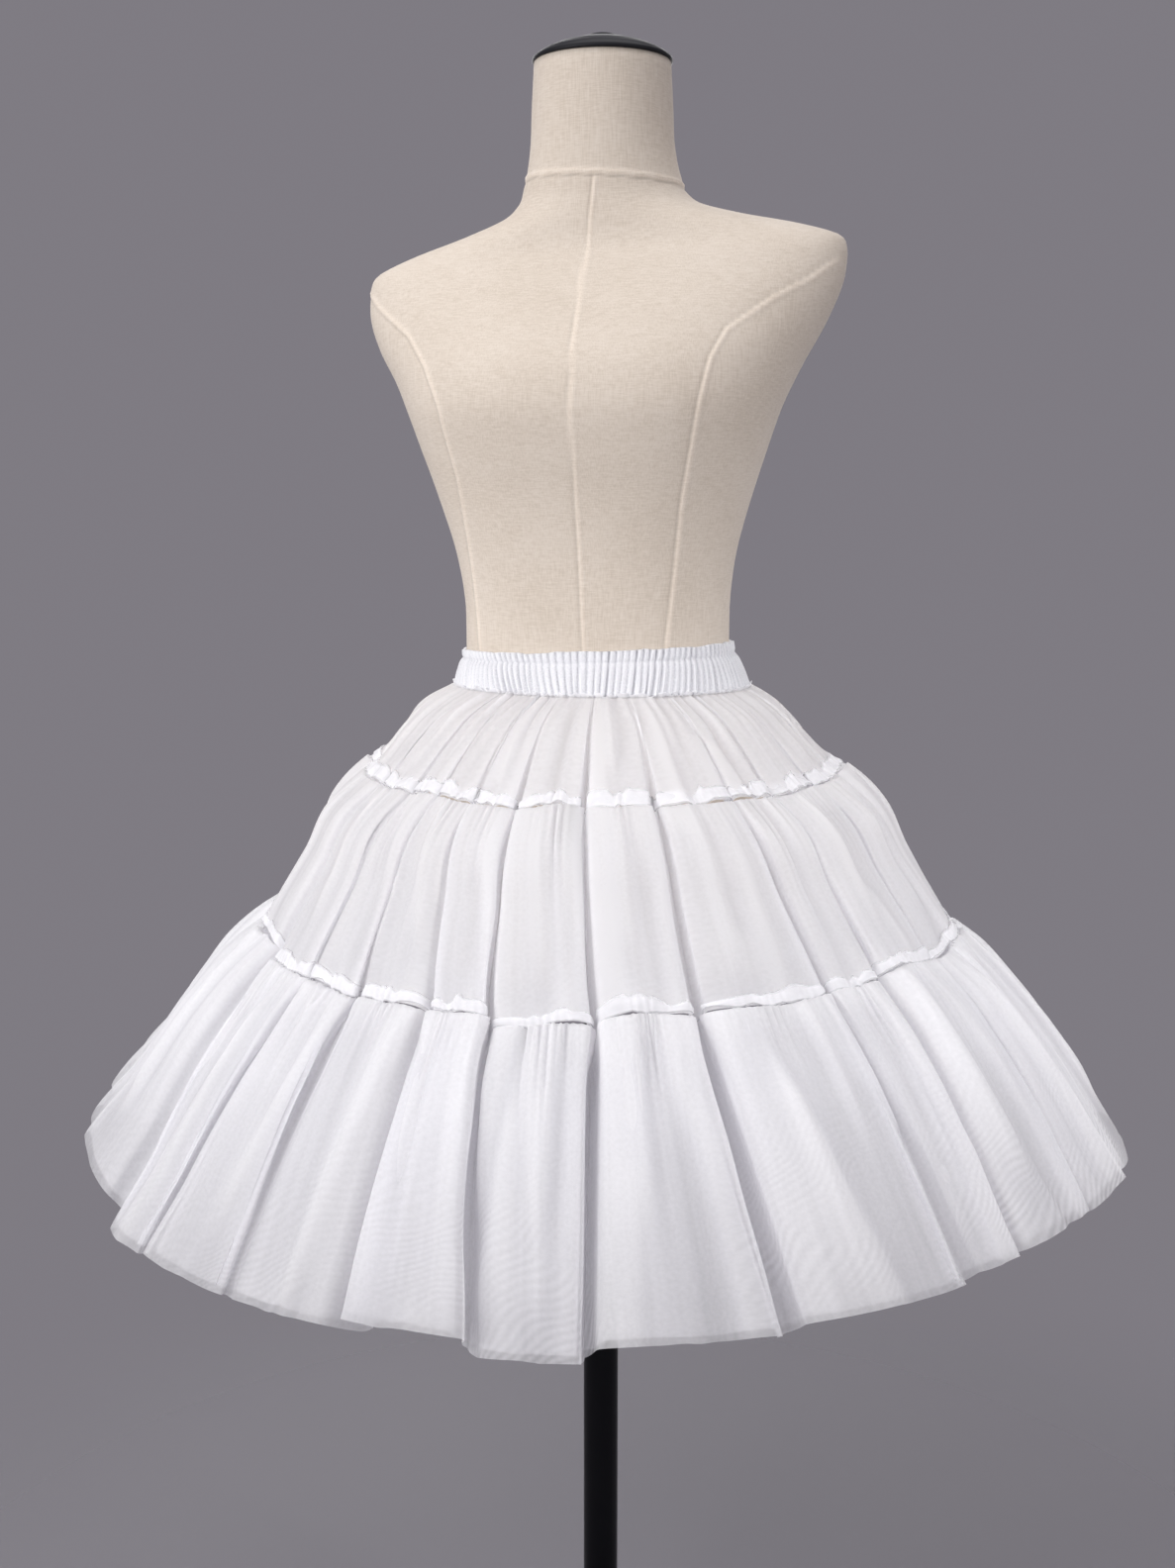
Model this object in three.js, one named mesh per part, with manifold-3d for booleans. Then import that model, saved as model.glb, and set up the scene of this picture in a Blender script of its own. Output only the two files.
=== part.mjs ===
// A three-tier tulle petticoat skirt on a limbless dress form with a round-based stand.
// Millimetres, +Z up, the front faces -Y, and the origin is the centre of the base's underside.
import * as THREE from "three";
import { mergeVertices } from "three/addons/utils/BufferGeometryUtils.js";
import Module from "manifold-3d";

const wasm = await Module();
wasm.setup();

// Driving sizes
const WAIST_TOP = 1020; // height of the waistband's top edge
const SEAM_GAP = 0.3; // between pieces that are sewn or seated together
const TULLE_WALL = 1.8; // two plies of tulle with the air between them
const TAPE_WIDTH = 9; // of the ruffled band that lies over each seam between tiers
const TAPE_WALL = 1.2;
const TAPE_GAP = 0.5; // more than the seam gap, because the band spans folded faces
const TAPE_LIFT = 2.5; // how far the band stands off the very bottom of a valley
const BAND_HEIGHT = 35;
const BAND_HEADER = 9; // from the top edge down to the elastic's stitch line
const BAND_WALL = 1.8;
const BAND_GATHERS = 80;
const GATHER_RELIEF = 1.1;
const FALL_TO_SEAM_1 = 106; // all falls are measured down from the waistband's top edge
const FALL_TO_SEAM_2 = 246;
const FALL_TO_HEM = 430;
const MAX_SLOT_SHARE = 0.2; // a valley's half width is at most this share of the fold beside it
const UPPER_LAP = FALL_TO_SEAM_1 - TAPE_WIDTH;
const LOWER_LAP = FALL_TO_SEAM_2 - TAPE_WIDTH;
const HEM_LEVEL = 2; // a ring's level is 0 down to the first seam, 1 at the second and 2 at the hem

const TORSO_COLUMNS = 32;
const SHOULDER_LEAN = 0.065; // rise for each mm towards the form's left, whose shoulder stands higher
const LEAN_STARTS = [120, 300]; // rises above the waist over which the lean grows
const LEAN_ENDS = [380, 445]; // and over which it fades out up the neck
const POLE_RADIUS = 16;
const SOCKET_DEPTH = 60; // how far the pole goes up into the form
const BASE_RADIUS = 150;
const BASE_FLOOR = 12; // the pole's foot stands this high inside the base
const HUB_RADIUS = 23;
const HUB_HEIGHT = 60;
const ROUND_COLUMNS = 28;

// Valleys between the large folds, in degrees from the front towards the form's left.
// seam1, seam2 and hem say where each valley runs, and depth is its share of the ring's fold depth.
// The fold after the valley stands out and hangs down by out and lower at the hem, and has a shallow
// crease at that share of its width, or none where crease is 0.
const VALLEYS = [
  { seam1: -80, seam2: -79, hem: -77, depth: 0.9, out: 2, lower: -5, crease: 0.55 },
  { seam1: -53, seam2: -55, hem: -49.5, depth: 1, out: 2, lower: 4, crease: 0.45 },
  { seam1: -38, seam2: -37, hem: -36, depth: 0.4, out: 1, lower: 3, crease: 0.4 },
  { seam1: -29, seam2: -23, hem: -24, depth: 0.4, out: 0, lower: 1, crease: 0 },
  { seam1: -20, seam2: -11, hem: -13, depth: 0.9, out: 5, lower: -7, crease: 0 },
  { seam1: -9, seam2: -2.7, hem: -5, depth: 1, out: 0, lower: 5, crease: 0.6 },
  { seam1: 6, seam2: 9.4, hem: 9.1, depth: 1.2, out: -4, lower: -3, crease: 0.36 },
  { seam1: 21, seam2: 22.5, hem: 26.6, depth: 1, out: -3, lower: -9, crease: 0.5 },
  { seam1: 39, seam2: 43.8, hem: 45.5, depth: 0.6, out: 0, lower: -14, crease: 0 },
  { seam1: 50, seam2: 52.5, hem: 51.5, depth: 1, out: -3, lower: -19, crease: 0.4 },
  { seam1: 66, seam2: 69, hem: 66, depth: 0.4, out: -1, lower: -15, crease: 0.6 },
  { seam1: 84, seam2: 86, hem: 82, depth: 0.9, out: 3, lower: 2, crease: 0.42 },
  { seam1: 104, seam2: 105, hem: 104, depth: 1, out: 0, lower: 4, crease: 0.55 },
  { seam1: 121, seam2: 124, hem: 125, depth: 0.8, out: -2, lower: -3, crease: 0.6 },
  { seam1: 141, seam2: 142, hem: 140, depth: 1, out: 4, lower: 3, crease: 0.4 },
  { seam1: 158, seam2: 160, hem: 161, depth: 0.9, out: 0, lower: 0, crease: 0.5 },
  { seam1: 176, seam2: 175, hem: 178, depth: 1.1, out: -4, lower: -4, crease: 0.45 },
  { seam1: 195, seam2: 197, hem: 198, depth: 0.85, out: 3, lower: 2, crease: 0.6 },
  { seam1: 214, seam2: 214, hem: 214, depth: 1, out: -2, lower: -3, crease: 0.4 },
  { seam1: 233, seam2: 235, hem: 236, depth: 0.9, out: 3, lower: 3, crease: 0.5 },
  { seam1: 256, seam2: 257, hem: 258, depth: 1, out: -2, lower: 0, crease: 0.58 },
];
const LEFT_SIDE_VALLEY = 11; // the valleys that hide the side seams
const RIGHT_SIDE_VALLEY = 0;

// Rings of each tier from its top edge to its lower edge. fall is the drop from the waistband's top,
// wide and deep the half sizes across and front to back, fold the valleys' depth, slot their half width,
// sag how far a valley's cloth hangs below the crowns beside it, and crown the bulge for each mm of width.
const TIER_RINGS = {
  tier_top: [
    { fall: BAND_HEIGHT + SEAM_GAP, wide: 129, deep: 106, fold: 3, slot: 4, sag: 0, crown: 0.03, level: 0 },
    { fall: 48, wide: 151, deep: 136, fold: 7, slot: 5, sag: 2, crown: 0.08, level: 0 },
    { fall: 72, wide: 181, deep: 174, fold: 12, slot: 6, sag: 7, crown: 0.1, level: 0 },
    { fall: UPPER_LAP, wide: 206, deep: 204, fold: 16, slot: 7, sag: 13, crown: 0.1, level: 0 },
    { fall: FALL_TO_SEAM_1, wide: 213, deep: 211, fold: 17, slot: 7, sag: 14, crown: 0.1, level: 0 },
  ],
  tier_middle: [
    { fall: FALL_TO_SEAM_1, wide: 213, deep: 211, fold: 17, slot: 7, sag: 14, crown: 0.1, level: 0 },
    { fall: 122, wide: 235, deep: 232, fold: 24, slot: 8, sag: 15, crown: 0.14, level: 0.1 },
    { fall: 178, wide: 271, deep: 269, fold: 30, slot: 9, sag: 19, crown: 0.14, level: 0.5 },
    { fall: LOWER_LAP, wide: 309, deep: 307, fold: 32, slot: 10, sag: 23, crown: 0.11, level: 0.94 },
    { fall: FALL_TO_SEAM_2, wide: 314, deep: 312, fold: 32, slot: 10, sag: 24, crown: 0.1, level: 1 },
  ],
  tier_bottom: [
    { fall: FALL_TO_SEAM_2, wide: 314, deep: 312, fold: 32, slot: 10, sag: 24, crown: 0.1, level: 1 },
    { fall: 262, wide: 336, deep: 333, fold: 38, slot: 11, sag: 24, crown: 0.13, level: 1.08 },
    { fall: 300, wide: 372, deep: 368, fold: 42, slot: 12, sag: 22, crown: 0.12, level: 1.3 },
    { fall: 345, wide: 406, deep: 402, fold: 44, slot: 13, sag: 20, crown: 0.1, level: 1.55 },
    { fall: 390, wide: 434, deep: 430, fold: 45, slot: 13, sag: 18, crown: 0.08, level: 1.8 },
    { fall: FALL_TO_HEM, wide: 457, deep: 453, fold: 46, slot: 13, sag: 16, crown: 0.07, level: HEM_LEVEL },
  ],
};

// Cross-section of a valley's side: how far along its half width, and how much of its depth is left.
const VALLEY_SIDE = [
  { along: 0.45, left: 0.5 },
  { along: 1, left: 0.06 },
];
const CREASE_SHARE = 0.16; // a shallow crease's depth as a share of the fold depth
const ARCH_POWER = 4; // how flat the top of a fold is between its two rounded sides

// Sections of the dress form from its underside to the neck's top. rise is the height above the
// waistband's top edge, front and back the half depths, aside the middle's place to the form's left,
// and square the superellipse's exponent.
const FORM_SECTIONS = [
  { rise: -290, wide: 150, front: 96, back: 112, aside: 0, square: 2.2 },
  { rise: -282, wide: 161, front: 104, back: 121, aside: 0, square: 2.2 },
  { rise: -240, wide: 168, front: 109, back: 127, aside: 0, square: 2.2 },
  { rise: -190, wide: 168, front: 109, back: 128, aside: 0, square: 2.2 },
  { rise: -130, wide: 153, front: 104, back: 119, aside: -1, square: 2.2 },
  { rise: -70, wide: 130, front: 97, back: 101, aside: -2, square: 2.1 },
  { rise: -30, wide: 116, front: 90, back: 89, aside: -3, square: 2.1 },
  { rise: 0, wide: 115, front: 87, back: 84, aside: -4, square: 2.1 },
  { rise: 30, wide: 115, front: 89, back: 84, aside: -4, square: 2.1 },
  { rise: 78, wide: 121, front: 94, back: 88, aside: -5, square: 2.2 },
  { rise: 128, wide: 135, front: 105, back: 95, aside: -6, square: 2.3 },
  { rise: 165, wide: 147, front: 116, back: 101, aside: -6, square: 2.4 },
  { rise: 200, wide: 159, front: 123, back: 106, aside: -5, square: 2.5 },
  { rise: 228, wide: 172, front: 119, back: 108, aside: -3, square: 2.4 },
  { rise: 262, wide: 191, front: 103, back: 107, aside: -1, square: 2.3 },
  { rise: 293, wide: 202, front: 84, back: 101, aside: 1, square: 2.3 },
  { rise: 313, wide: 203, front: 71, back: 91, aside: 2, square: 2.3 },
  { rise: 326, wide: 197, front: 63, back: 82, aside: 2, square: 2.2 },
  { rise: 337, wide: 168, front: 60, back: 77, aside: 1, square: 2.1 },
  { rise: 350, wide: 119, front: 59, back: 70, aside: 0, square: 2 },
  { rise: 361, wide: 85, front: 58, back: 65, aside: 0, square: 2 },
  { rise: 371, wide: 72, front: 57, back: 62, aside: 0, square: 2 },
  { rise: 386, wide: 66, front: 57, back: 60, aside: 0, square: 2 },
  { rise: 410, wide: 61, front: 57, back: 58, aside: 0, square: 2 },
  { rise: 445, wide: 59, front: 57, back: 57, aside: 0, square: 2 },
  { rise: 481, wide: 57, front: 56, back: 56, aside: 0, square: 2 },
];
const WAIST_SECTION = FORM_SECTIONS.find((row) => row.rise === 0);
const TORSO_BOTTOM = WAIST_TOP + FORM_SECTIONS[0].rise;
const NECK_TOP = WAIST_TOP + FORM_SECTIONS.at(-1).rise;

const LINEN = { color: 0xddcfbf, roughness: 0.9, metalness: 0 };
const TULLE = { color: 0xf4f3f7, roughness: 0.75, metalness: 0 };
const SATIN = { color: 0xf7f7fa, roughness: 0.6, metalness: 0 };
const BLACK_METAL = { color: 0x0b0b0d, roughness: 0.35, metalness: 0.7 };
const BLACK_PLASTIC = { color: 0x1d1d20, roughness: 0.4, metalness: 0 };

const RAD = Math.PI / 180;
const mix = (a, b, share) => a + (b - a) * share;

// Closed shapes from rows of points

function geometryOf(points, triangles) {
  const g = new THREE.BufferGeometry();
  g.setAttribute("position", new THREE.Float32BufferAttribute(points.flatMap((p) => [p.x, p.y, p.z]), 3));
  return g.setIndex(triangles);
}

// Joins two rings of the same length with a band of triangles that faces outwards when the second ring
// lies above the first and the rings run anticlockwise seen from above.
function band(triangles, lower, upper, count) {
  for (let c = 0; c < count; c++) {
    const d = (c + 1) % count;
    triangles.push(lower + c, lower + d, upper + d, lower + c, upper + d, upper + c);
  }
}

// A tube's wall: outer and inner rows, both from the lowest ring up.
function wallOf(outer, inner) {
  const count = outer[0].length;
  const points = [...outer.flat(), ...inner.flat()];
  const triangles = [];
  const innerStart = outer.length * count;
  for (let r = 0; r + 1 < outer.length; r++) band(triangles, r * count, (r + 1) * count, count);
  for (let r = 0; r + 1 < inner.length; r++)
    band(triangles, innerStart + (r + 1) * count, innerStart + r * count, count);
  band(triangles, (outer.length - 1) * count, innerStart + (inner.length - 1) * count, count);
  band(triangles, innerStart, 0, count);
  return geometryOf(points, triangles);
}

// A panel's wall: as a tube's, but with an edge at each side. Its rows run anticlockwise seen from above.
function openWallOf(outer, inner) {
  const count = outer[0].length;
  const rows = outer.length;
  const triangles = [];
  const at = (side, r, c) => side * rows * count + r * count + c;
  const quad = (a, b, c, d) => triangles.push(a, b, c, a, c, d);
  for (let r = 0; r + 1 < rows; r++) {
    for (let c = 0; c + 1 < count; c++) {
      quad(at(0, r, c), at(0, r, c + 1), at(0, r + 1, c + 1), at(0, r + 1, c));
      quad(at(1, r, c), at(1, r + 1, c), at(1, r + 1, c + 1), at(1, r, c + 1));
    }
    quad(at(0, r, 0), at(0, r + 1, 0), at(1, r + 1, 0), at(1, r, 0));
    quad(at(0, r, count - 1), at(1, r, count - 1), at(1, r + 1, count - 1), at(0, r + 1, count - 1));
  }
  for (let c = 0; c + 1 < count; c++) {
    quad(at(0, 0, c), at(1, 0, c), at(1, 0, c + 1), at(0, 0, c + 1));
    quad(at(0, rows - 1, c), at(0, rows - 1, c + 1), at(1, rows - 1, c + 1), at(1, rows - 1, c));
  }
  return geometryOf([...outer.flat(), ...inner.flat()], triangles);
}

// A solid through rings from the lowest up, closed by a flat fan at each end.
function loftOf(rings) {
  const count = rings[0].length;
  const centre = (ring) => ring.reduce((sum, p) => sum.add(p), new THREE.Vector3()).divideScalar(count);
  const points = [...rings.flat(), centre(rings[0]), centre(rings.at(-1))];
  const bottom = rings.length * count;
  const triangles = [];
  for (let r = 0; r + 1 < rings.length; r++) band(triangles, r * count, (r + 1) * count, count);
  for (let c = 0; c < count; c++) {
    const d = (c + 1) % count;
    triangles.push(bottom, d, c);
    triangles.push(bottom + 1, bottom - count + c, bottom - count + d);
  }
  return geometryOf(points, triangles);
}

function solidOf(geometry) {
  const bare = new THREE.BufferGeometry().setAttribute("position", geometry.getAttribute("position"));
  const merged = mergeVertices(bare.setIndex(geometry.index), 1e-4);
  return new wasm.Manifold(
    new wasm.Mesh({
      numProp: 3,
      vertProperties: merged.attributes.position.array,
      triVerts: new Uint32Array(merged.index.array),
    }),
  );
}

function cut(geometry, tool) {
  const made = solidOf(geometry).subtract(solidOf(tool)).getMesh();
  return new THREE.BufferGeometry()
    .setAttribute("position", new THREE.BufferAttribute(made.vertProperties, made.numProp))
    .setIndex(new THREE.BufferAttribute(made.triVerts, 1));
}

// A profile of [radius, height] points turned about +Z
function turned(profile) {
  const points = profile.map(([radius, height]) => new THREE.Vector2(radius, height));
  return new THREE.LatheGeometry(points, ROUND_COLUMNS).rotateX(Math.PI / 2);
}

// The skirt's folds

function valleyAngle(valley, level) {
  return level <= 1 ? mix(valley.seam1, valley.seam2, level) : mix(valley.seam2, valley.hem, level - 1);
}

// The points across one fold, from the bottom of its own valley to just short of the next one's.
// Each has its share of the fold's width, what is left of either valley, and what is left of the crease.
function foldStations(valley, next, width, slot) {
  const near = VALLEY_SIDE.map(({ along, left }) => ({
    share: (along * slot) / width, hollow: left * valley.depth, crease: 0 }));
  const far = VALLEY_SIDE.map(({ along, left }) => ({
    share: 1 - (along * slot) / width, hollow: left * next.depth, crease: 0 })).reverse();
  const start = near.at(-1).share;
  const end = far[0].share;
  const middle = valley.crease ? mix(start, end, valley.crease) : mix(start, end, 0.5);
  const plain = (share) => ({ share, hollow: 0, crease: 0 });
  const top = valley.crease
    ? [plain((start + middle) / 2), { ...plain(middle), crease: 1 }, plain((middle + end) / 2)]
    : [plain(middle)];
  return [{ share: 0, hollow: valley.depth, crease: 0 }, ...near, ...top, ...far];
}

// The points of one ring of cloth, anticlockwise seen from above, a list for each fold.
function clothFolds(ring) {
  return VALLEYS.map((valley, i) => {
    const next = VALLEYS[(i + 1) % VALLEYS.length];
    const start = valleyAngle(valley, ring.level);
    const turn = (valleyAngle(next, ring.level) - start + 360) % 360;
    const width = turn * RAD * ((ring.wide + ring.deep) / 2);
    const hemShare = Math.max(0, ring.level - 1);
    return foldStations(valley, next, width, Math.min(ring.slot, MAX_SLOT_SHARE * width)).map((station) => {
      const arch = 1 - (2 * station.share - 1) ** ARCH_POWER;
      const angle = (start + turn * station.share) * RAD;
      const sine = Math.sin(angle);
      const cosine = Math.cos(angle);
      const around = 1 / Math.hypot(sine / ring.wide, cosine / ring.deep);
      const radius = around + valley.out * hemShare * arch - ring.crown * width * (1 - arch)
        - ring.fold * (station.hollow + CREASE_SHARE * station.crease);
      const drop = ring.fall + (valley.lower * ring.level * arch) / 2 + ring.sag * station.hollow;
      return new THREE.Vector3(radius * sine, -radius * cosine, WAIST_TOP - drop);
    });
  });
}

// Each point's outward direction on a grid of rows that run upwards. It is level on the first and last
// row, so that the edges of two tiers that meet at a seam stay parallel.
function outwardsOf(rows) {
  const count = rows[0].length;
  const upright = new THREE.Vector3(0, 0, 1);
  return rows.map((row, r) =>
    row.map((_, c) => {
      const towards = new THREE.Vector3().subVectors(row[(c + 1) % count], row[c]).normalize();
      const from = new THREE.Vector3().subVectors(row[c], row[(c + count - 1) % count]).normalize();
      const along = towards.add(from);
      const onEdge = r === 0 || r === rows.length - 1;
      const up = onEdge ? upright : new THREE.Vector3().subVectors(rows[r + 1][c], rows[r - 1][c]);
      return along.cross(up).normalize();
    }),
  );
}

function movedOut(rows, distance) {
  const outwards = outwardsOf(rows);
  return rows.map((row, r) => row.map((p, c) => p.clone().addScaledVector(outwards[r][c], distance)));
}

// A tier's outer surface from its lower edge up, with the top edge lowered to clear the piece above.
function tierRows(name, gap) {
  const rows = TIER_RINGS[name].map((ring) => clothFolds(ring).flat());
  rows[0].forEach((p) => (p.z -= gap));
  return rows.reverse();
}

// The column of each valley's bottom, and after the last one the number of columns.
const VALLEY_COLUMNS = [0];
for (const fold of clothFolds(TIER_RINGS.tier_top[0])) {
  VALLEY_COLUMNS.push(VALLEY_COLUMNS.at(-1) + fold.length);
}

// The columns from one side valley round to the other, both valley bottoms included.
function columnsBetween(from, to) {
  const total = VALLEY_COLUMNS.at(-1);
  const first = VALLEY_COLUMNS[from];
  const length = (VALLEY_COLUMNS[to] - first + total) % total;
  return Array.from({ length: length + 1 }, (_, c) => (first + c) % total);
}

// One panel of a tier, from side seam to side seam, pulled back from each seam by half the gap.
function panelGeometry(name, gap, from, to) {
  const columns = columnsBetween(from, to);
  const outer = tierRows(name, gap);
  const inner = movedOut(outer, -TULLE_WALL);
  const pick = (rows) =>
    rows.map((row) => {
      const points = columns.map((c) => row[c].clone());
      pullBack(points[0], 1);
      pullBack(points.at(-1), -1);
      return points;
    });
  return openWallOf(pick(outer), pick(inner));
}

function pullBack(point, side) {
  const round = new THREE.Vector3(-point.y, point.x, 0).normalize();
  point.addScaledVector(round, (side * SEAM_GAP) / 2);
}

// The seam's flat band lies on the last ring pair of the tier above it.
function tapeGeometry(name) {
  const rows = tierRows(name, 0).slice(0, 2);
  const lifted = (distance) =>
    movedOut(rows, distance).map((row) => {
      for (const c of VALLEY_COLUMNS.slice(0, -1)) {
        const outward = new THREE.Vector3(row[c].x, row[c].y, 0).normalize();
        row[c].addScaledVector(outward, TAPE_LIFT);
      }
      return row;
    });
  return wallOf(lifted(TAPE_GAP + TAPE_WALL), lifted(TAPE_GAP));
}

// The form's sections

// A point of a form section, grown outwards, at an angle from the front towards the form's left.
function sectionPoint(section, angle, grow) {
  const sine = Math.sin(angle);
  const cosine = Math.cos(angle);
  const curve = (v) => Math.sign(v) * Math.abs(v) ** (2 / section.square);
  const depth = (cosine > 0 ? section.front : section.back) + grow;
  return new THREE.Vector2(section.aside + (section.wide + grow) * curve(sine), -depth * curve(cosine));
}

function formRing(row) {
  const grown = THREE.MathUtils.smoothstep(row.rise, ...LEAN_STARTS);
  const lean = SHOULDER_LEAN * (grown - THREE.MathUtils.smoothstep(row.rise, ...LEAN_ENDS));
  return Array.from({ length: TORSO_COLUMNS }, (_, c) => {
    const p = sectionPoint(row, (c / TORSO_COLUMNS) * 2 * Math.PI, 0);
    return new THREE.Vector3(p.x, p.y, WAIST_TOP + row.rise + lean * p.x);
  });
}

function torsoGeometry() {
  const radius = POLE_RADIUS + SEAM_GAP;
  const socket = new THREE.CylinderGeometry(radius, radius, 2 * SOCKET_DEPTH, ROUND_COLUMNS)
    .rotateX(Math.PI / 2)
    .translate(0, 0, TORSO_BOTTOM);
  return cut(loftOf(FORM_SECTIONS.map(formRing)), socket);
}

// The elastic waistband: a plain inside that lies on the form at its top edge, and gathers outside.
// flare is how far each row has opened towards the top tier, and relief its share of the gathers' height.
function waistbandGeometry() {
  const rows = [
    { fall: BAND_HEIGHT, flare: 1, relief: 1 },
    { fall: BAND_HEADER, flare: 0.2, relief: 0.35 },
    { fall: 0, flare: 0, relief: 0.9 },
  ];
  const count = 2 * BAND_GATHERS;
  const top = TIER_RINGS.tier_top[0];
  const ringAt = (row, grow, relief) =>
    Array.from({ length: count }, (_, c) => {
      const angle = (c / count) * 2 * Math.PI;
      const p = sectionPoint(WAIST_SECTION, angle, grow);
      const skirt = 1 / Math.hypot(Math.sin(angle) / top.wide, Math.cos(angle) / top.deep);
      const q = new THREE.Vector2(Math.sin(angle), -Math.cos(angle)).multiplyScalar(skirt - BAND_WALL + grow);
      p.lerp(q, row.flare);
      p.addScaledVector(p.clone().normalize(), relief * (c % 2));
      return new THREE.Vector3(p.x, p.y, WAIST_TOP - row.fall);
    });
  const inner = [rows[0], rows[2]].map((row) => ringAt(row, SEAM_GAP, 0));
  const outer = rows.map((row) => ringAt(row, SEAM_GAP + BAND_WALL, GATHER_RELIEF * row.relief));
  return wallOf(outer, inner);
}

// The stand and the neck's cap

const BASE_PROFILE = [
  [0, 0],
  [BASE_RADIUS, 0],
  [BASE_RADIUS, 5],
  [BASE_RADIUS - 8, 9],
  [HUB_RADIUS + 11, 15],
  [HUB_RADIUS + 2, 22],
  [HUB_RADIUS, HUB_HEIGHT],
  [POLE_RADIUS + SEAM_GAP, HUB_HEIGHT],
  [POLE_RADIUS + SEAM_GAP, BASE_FLOOR],
  [0, BASE_FLOOR],
];
const CAP_PROFILE = [
  [0, 0],
  [58, 0],
  [58.5, 1],
  [58, 3],
  [53, 7],
  [41, 12.5],
  [26, 17],
  [18, 18],
  [0, 18],
];
const CAP_HEIGHT = CAP_PROFILE.at(-1)[1];
const KNOB_PROFILE = [
  [0, 0],
  [14, 0],
  [14.5, 1.5],
  [11, 4],
  [0, 4.6],
];

function poleGeometry() {
  const low = BASE_FLOOR + SEAM_GAP;
  const high = TORSO_BOTTOM + SOCKET_DEPTH - SEAM_GAP;
  return new THREE.CylinderGeometry(POLE_RADIUS, POLE_RADIUS, high - low, ROUND_COLUMNS)
    .rotateX(Math.PI / 2)
    .translate(0, 0, (low + high) / 2);
}

// The whole part

const part = new THREE.Group();

function add(name, geometry, finish, height = 0) {
  const mesh = new THREE.Mesh(geometry, new THREE.MeshStandardMaterial(finish));
  mesh.name = name;
  mesh.position.z = height;
  part.add(mesh);
}

add("stand_base", turned(BASE_PROFILE), BLACK_METAL);
add("stand_pole", poleGeometry(), BLACK_METAL);
add("form_torso", torsoGeometry(), LINEN);
add("form_neck_cap", turned(CAP_PROFILE), BLACK_PLASTIC, NECK_TOP + SEAM_GAP);
add("form_cap_knob", turned(KNOB_PROFILE), BLACK_PLASTIC, NECK_TOP + CAP_HEIGHT + 2 * SEAM_GAP);
add("waistband", waistbandGeometry(), SATIN);
for (const name of Object.keys(TIER_RINGS)) {
  const gap = name === "tier_top" ? 0 : SEAM_GAP;
  add(`${name}_front`, panelGeometry(name, gap, RIGHT_SIDE_VALLEY, LEFT_SIDE_VALLEY), TULLE);
  add(`${name}_back`, panelGeometry(name, gap, LEFT_SIDE_VALLEY, RIGHT_SIDE_VALLEY), TULLE);
}
add("seam_band_upper", tapeGeometry("tier_top"), TULLE);
add("seam_band_lower", tapeGeometry("tier_middle"), TULLE);

export default part;
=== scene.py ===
from math import cos, pi, radians, sin

import bpy
import numpy as np
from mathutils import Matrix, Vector


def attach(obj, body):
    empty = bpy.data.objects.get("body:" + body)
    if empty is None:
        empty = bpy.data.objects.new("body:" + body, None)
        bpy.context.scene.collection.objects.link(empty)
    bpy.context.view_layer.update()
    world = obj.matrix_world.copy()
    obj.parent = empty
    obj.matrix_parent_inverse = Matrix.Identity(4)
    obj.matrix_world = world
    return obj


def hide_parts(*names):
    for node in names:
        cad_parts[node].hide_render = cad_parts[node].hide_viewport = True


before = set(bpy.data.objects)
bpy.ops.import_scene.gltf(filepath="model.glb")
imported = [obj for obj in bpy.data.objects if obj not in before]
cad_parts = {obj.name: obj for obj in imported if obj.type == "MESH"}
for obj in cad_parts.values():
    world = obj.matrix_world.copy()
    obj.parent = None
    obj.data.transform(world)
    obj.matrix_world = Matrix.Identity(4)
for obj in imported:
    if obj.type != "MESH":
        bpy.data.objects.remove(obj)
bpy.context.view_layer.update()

# Sizes in metres
WAIST = 1.020  # height of the waistband's top edge
BAND_FALL = 0.035
HEADER_FALL = 0.009  # from the top edge down to the elastic's stitch line
SATIN_WALL = 0.0016
TORSO_BOTTOM = WAIST - 0.290
NECK_TOP = WAIST + 0.481
CAP_HEIGHT = 0.018
SEAM_GAP = 0.0003
TAPE_WIDTH = 0.009  # the bands over the tiers' seams
TAPE_WALL = 0.0004
INNER_PLY = 0.0045  # how far the inner ply hangs behind the outer one
INNER_HEM_RISE = 0.0045  # and how much higher it ends
PUFF = 0.0021  # how far the gathers stand out from under a seam's band
PUFF_FALL = 0.014  # and how far down they do
FRILL_RISE = 0.0026  # the first tier's raw edge over the waistband's lower edge
FRILL_OUT = 0.0015
CREST_HEIGHT = 0.004  # the height of cloth that counts as a full ridge in its painted shade and highlight
SEAM_HEIGHT = 0.0010  # the form's raised seams
NECK_SEAM_HEIGHT = 0.0014
SEAM_SHADE_HEIGHT = 0.0012  # the height that counts as one in the seams' painted shade and highlight

# How far the skirt's two seams are below the waistband's top edge in millimetres
UPPER_SEAM, LOWER_SEAM = 106, 246

# How far the skirt's side at the form's right is drawn in at the upper seam, and how much more at the
# lower one, in millimetres, with the middle and the half width of that stretch in degrees
DRAWN_UPPER, DRAWN_LOWER = 7, 11
DRAWN_ANGLE, DRAWN_HALF = -82, 42

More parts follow.
